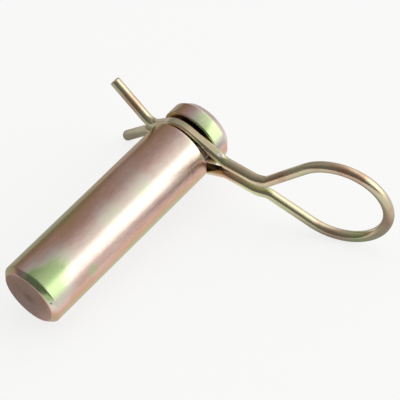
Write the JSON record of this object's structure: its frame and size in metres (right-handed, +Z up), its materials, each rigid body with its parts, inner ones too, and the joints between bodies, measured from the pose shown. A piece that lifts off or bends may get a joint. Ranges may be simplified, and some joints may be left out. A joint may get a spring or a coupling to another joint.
{
  "type": "drawbar pin",
  "caption": "Turned hitch pin with a chamfered head and end, and a bent-wire spring clip with a finger loop that swivels in the groove behind the head.",
  "frame": {"origin": "centre of the pin's plain end face", "axes": "+Y towards the head, +X towards the finger loop, +Z up as the part lies at rest; the bar's axis rises 3.41 degrees from +Y"},
  "size_m": [0.115, 0.1026, 0.0408],
  "materials": {
    "pin": "turned steel, yellow passivated zinc",
    "clip": "spring wire, yellow passivated zinc"
  },
  "bodies": {
    "pin": {"pin": "pin"},
    "clip": {"spring_clip": "clip"}
  },
  "joints": [
    {"name": "clip_swivel", "type": "hinge", "parent": "pin", "child": "clip", "pos_m": [0, 0.08385, 0.005], "axis": [0, 0.9982, 0.0595], "continuous": true}
  ]
}
